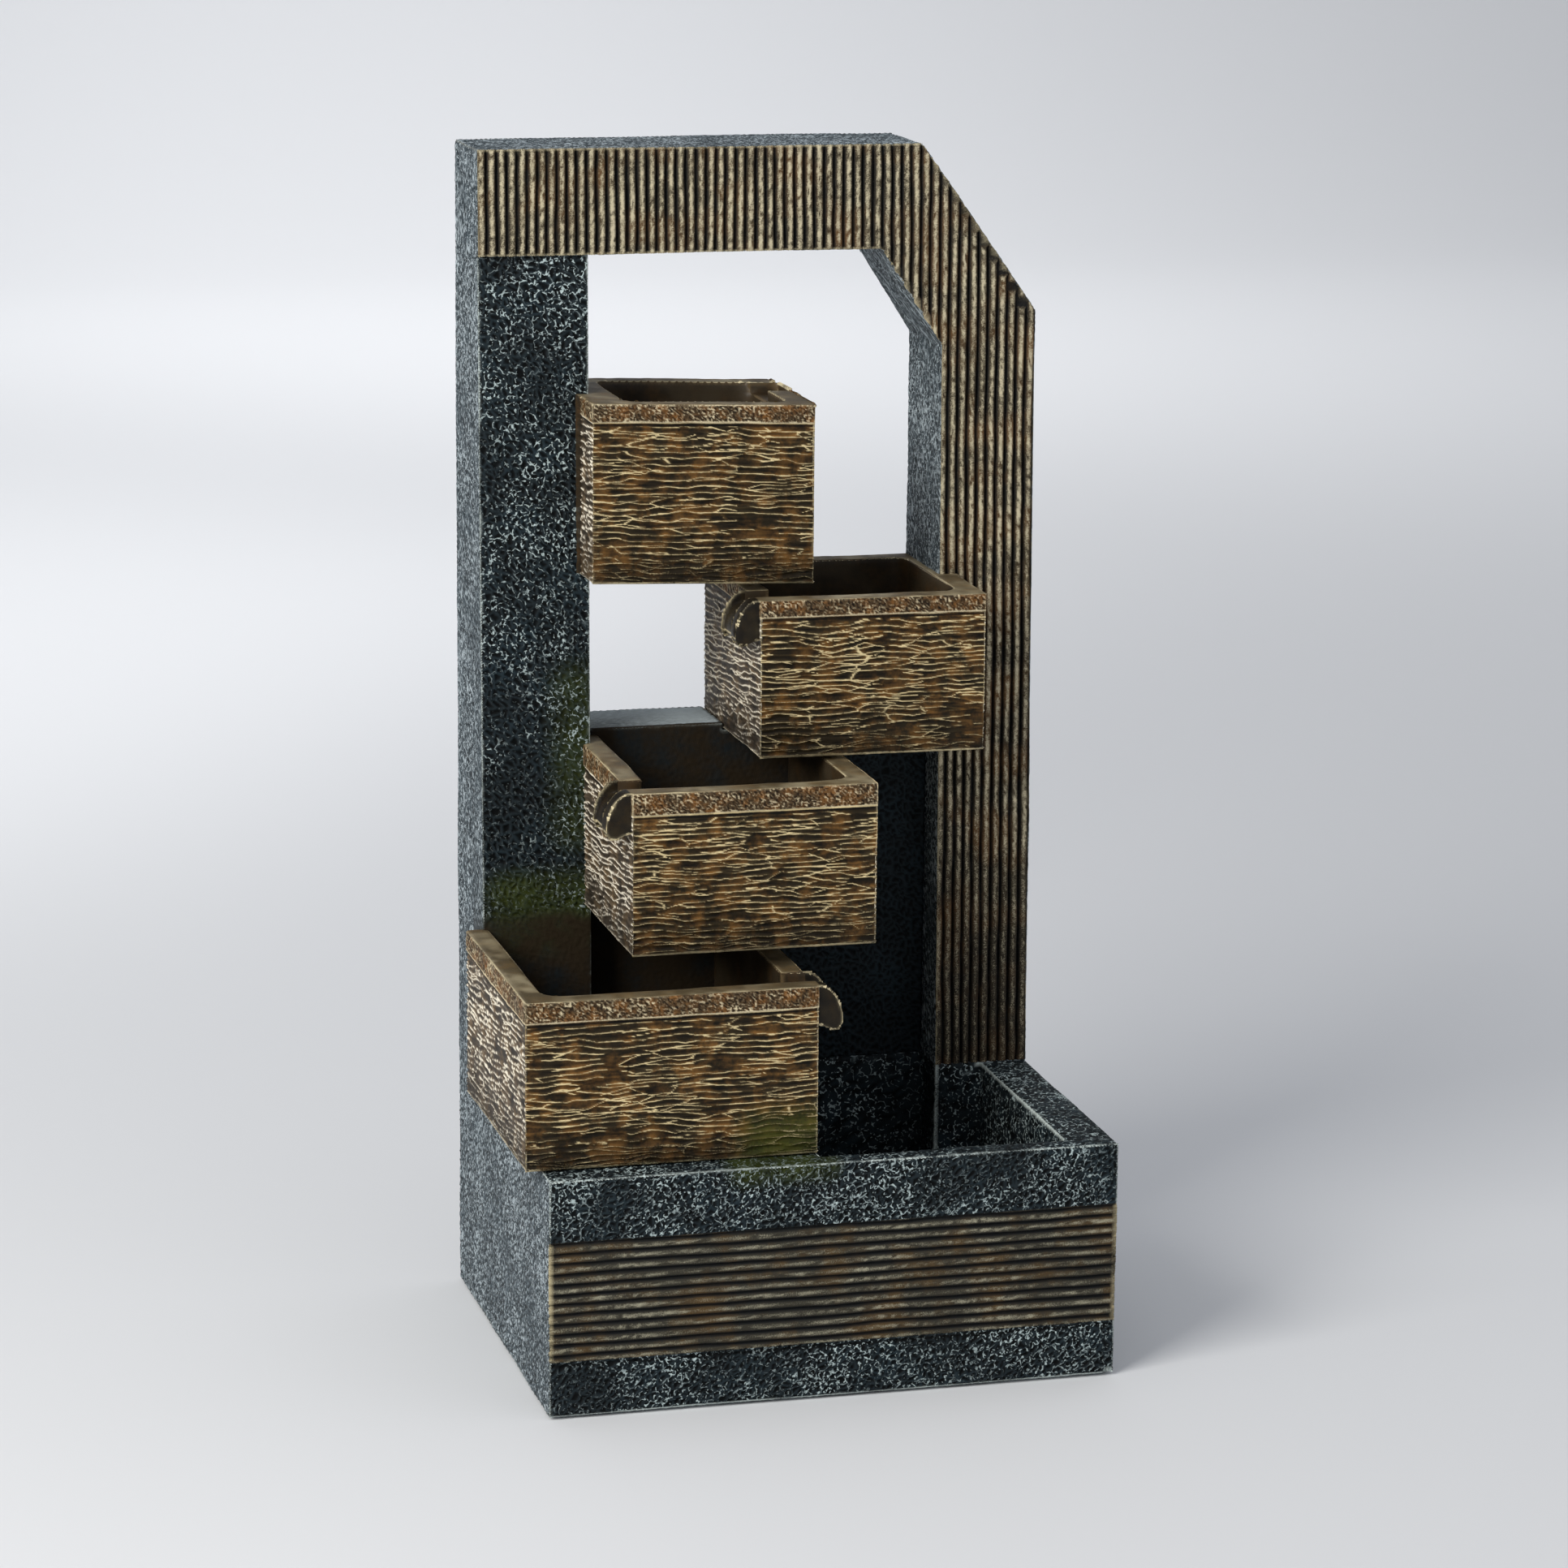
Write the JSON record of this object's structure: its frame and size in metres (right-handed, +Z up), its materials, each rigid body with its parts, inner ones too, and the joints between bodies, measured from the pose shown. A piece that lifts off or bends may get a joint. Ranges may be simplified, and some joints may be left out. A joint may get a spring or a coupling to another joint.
{
  "type": "tabletop water fountain",
  "caption": "Cascading tabletop fountain: open spill bowls step down inside a ribbed arch into a basin, with a submersible pump behind a rear door",
  "frame": {"origin": "centre of the bounding box at table level, under the foot pads", "axes": "+Z up, -Y the fluted front, +X to the right seen from the front"},
  "size_m": [0.206, 0.155, 0.4144],
  "materials": {
    "stone_cast": "cast polyresin, hammered stone face, blue-black with pale dry-brushed flecks",
    "bronze_cast": "cast polyresin, fluted face in antique bronze over dark brown, stone sides",
    "bark_cast": "cast polyresin, carved bark ridges in cream and rust over dark brown",
    "pad_rubber": "matt black rubber",
    "door_plastic": "moulded ABS, fine grain",
    "screw_steel": "stainless steel",
    "seal_rubber": "soft black rubber",
    "pump_plastic": "moulded ABS",
    "core_steel": "laminated silicon steel",
    "bobbin_plastic": "moulded nylon",
    "coil_copper": "enamelled copper wire",
    "potting": "poured epoxy",
    "shaft_ceramic": "ground ceramic",
    "magnet_ferrite": "sintered ferrite",
    "impeller_plastic": "moulded acetal",
    "sponge": "open-cell foam",
    "dial_plastic": "moulded ABS",
    "hose_vinyl": "clear green-tinted vinyl tube"
  },
  "bodies": {
    "casting": {"base_basin": "stone_cast", "base_back": "stone_cast", "left_column": "stone_cast", "back_panel": "stone_cast", "ribbed_arch": "bronze_cast", "ribbed_band": "bronze_cast", "bottom_bowl": "bark_cast", "lower_bowl": "bark_cast", "upper_bowl": "bark_cast", "top_bowl": "bark_cast", "foot_pads": "pad_rubber", "door_frame": "door_plastic", "door_frame_screws": "screw_steel", "door_hinge_pin": "screw_steel", "cable_grommet": "seal_rubber", "pump_body": "pump_plastic", "stator_core": "core_steel", "coil_bobbin": "bobbin_plastic", "coil_winding": "coil_copper", "potting_resin": "potting", "lead_gland": "seal_rubber", "shaft_bushes": "seal_rubber", "impeller_shaft": "shaft_ceramic", "volute_housing": "pump_plastic", "strainer_cover": "pump_plastic", "filter_sponge": "sponge", "suction_cups": "seal_rubber", "riser_hose": "hose_vinyl", "hose_clamps": "screw_steel", "inlet_elbow": "pump_plastic", "inlet_gasket": "seal_rubber", "inlet_nut": "pump_plastic"},
    "door": {"pump_door": "door_plastic"},
    "rotor": {"impeller_magnet": "magnet_ferrite", "impeller": "impeller_plastic"},
    "dial": {"flow_dial": "dial_plastic"}
  },
  "joints": [
    {"name": "pump_door_swing", "type": "hinge", "parent": "casting", "child": "door", "pos_m": [-0.0439, 0.0756, 0.055], "axis": [0, 0, 1], "range_deg": [0, 100]},
    {"name": "impeller_spin", "type": "hinge", "parent": "casting", "child": "rotor", "pos_m": [-0.071, 0.0525, 0.0256], "axis": [0, 1, 0], "continuous": true},
    {"name": "flow_dial_turn", "type": "hinge", "parent": "casting", "child": "dial", "pos_m": [-0.071, 0.0675, 0.0256], "axis": [0, 1, 0], "range_deg": [0, 90]}
  ]
}
